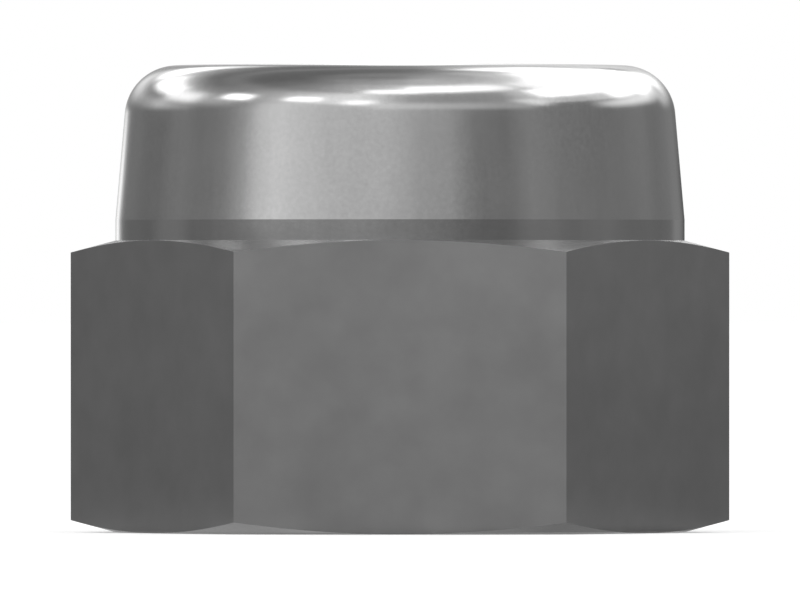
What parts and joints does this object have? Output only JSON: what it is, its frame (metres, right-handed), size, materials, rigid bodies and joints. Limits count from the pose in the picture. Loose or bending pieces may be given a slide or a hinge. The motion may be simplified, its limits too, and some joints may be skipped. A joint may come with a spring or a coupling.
{
  "type": "lock nut",
  "caption": "Hexagon nut for a metric screw, with a tapered collar rolled over a locking ring that grips the screw's thread.",
  "frame": {"origin": "centre of the bearing face, on the thread axis", "axes": "+Z along the thread axis from the bearing face towards the collar, +X through a corner of the hexagon, -Y and +Y square to two of the flats"},
  "size_m": [0.0112, 0.0098, 0.008],
  "materials": {
    "steel": "plain grey steel, satin on the flats and polished on the turned collar",
    "nylon": "natural nylon, off-white and slightly waxy"
  },
  "bodies": {
    "root": {"nut_body": "steel", "nylon_ring": "nylon"}
  },
  "joints": []
}
